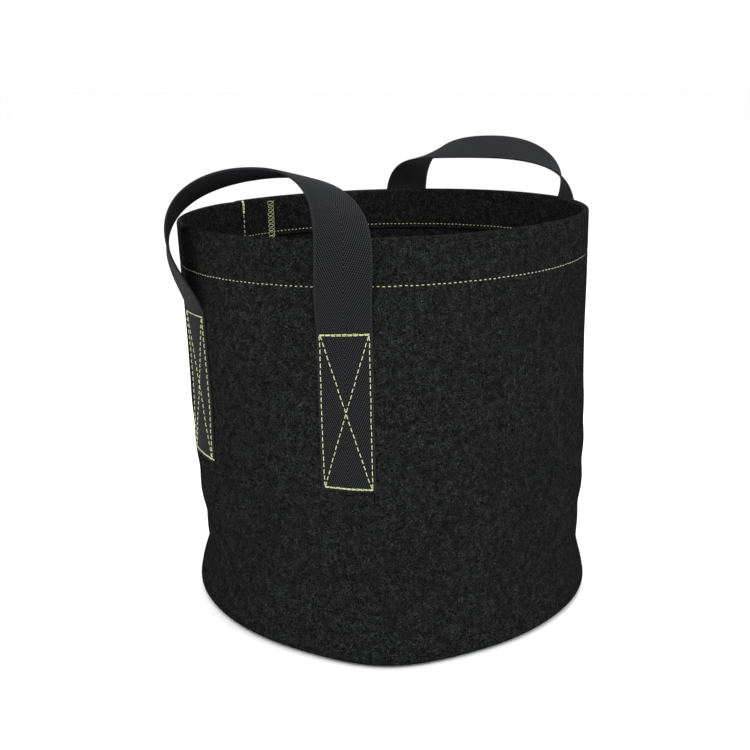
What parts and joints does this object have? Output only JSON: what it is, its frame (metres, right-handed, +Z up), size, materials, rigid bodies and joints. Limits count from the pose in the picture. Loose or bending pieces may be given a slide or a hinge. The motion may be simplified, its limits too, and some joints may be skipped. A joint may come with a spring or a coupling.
{
  "type": "fabric grow bag",
  "caption": "Round felt planting bag with an open top, a turned-in stitched hem, a flat felt base and webbing carrying handles sewn on with box stitching.",
  "frame": {"origin": "centre of the underside of the base, where the bag stands", "axes": "+Z up along the bag's axis; the handles' middles are at -Y (front) and +Y (back); the side seam is near -X"},
  "size_m": [0.4226, 0.4604, 0.4612],
  "materials": {
    "felt": "matt needle-punched felt",
    "webbing": "herringbone webbing, slight sheen",
    "thread": "twisted sewing thread"
  },
  "bodies": {
    "bag": {"wall_panel": "felt", "base_panel": "felt", "base_seam_thread": "thread", "hem_needle_thread": "thread", "hem_bobbin_thread": "thread", "side_seam_needle_thread": "thread", "side_seam_bobbin_thread": "thread", "side_seam_overlock": "thread", "handle_front_left_end": "webbing", "handle_front_right_end": "webbing", "handle_back_left_end": "webbing", "handle_back_right_end": "webbing", "box_x_front_left_needle_thread": "thread", "box_x_front_left_bobbin_thread": "thread", "box_x_front_right_needle_thread": "thread", "box_x_front_right_bobbin_thread": "thread", "box_x_back_left_needle_thread": "thread", "box_x_back_left_bobbin_thread": "thread", "box_x_back_right_needle_thread": "thread", "box_x_back_right_bobbin_thread": "thread"},
    "front_handle": {"handle_front_loop": "webbing"},
    "back_handle": {"handle_back_loop": "webbing"}
  },
  "joints": [
    {"name": "front_handle_swing", "type": "hinge", "parent": "bag", "child": "front_handle", "pos_m": [0, -0.2035, 0.341], "axis": [1, 0, 0], "range_deg": [-6, 140]},
    {"name": "back_handle_swing", "type": "hinge", "parent": "bag", "child": "back_handle", "pos_m": [0, 0.2035, 0.341], "axis": [-1, 0, 0], "range_deg": [-6, 140]}
  ]
}
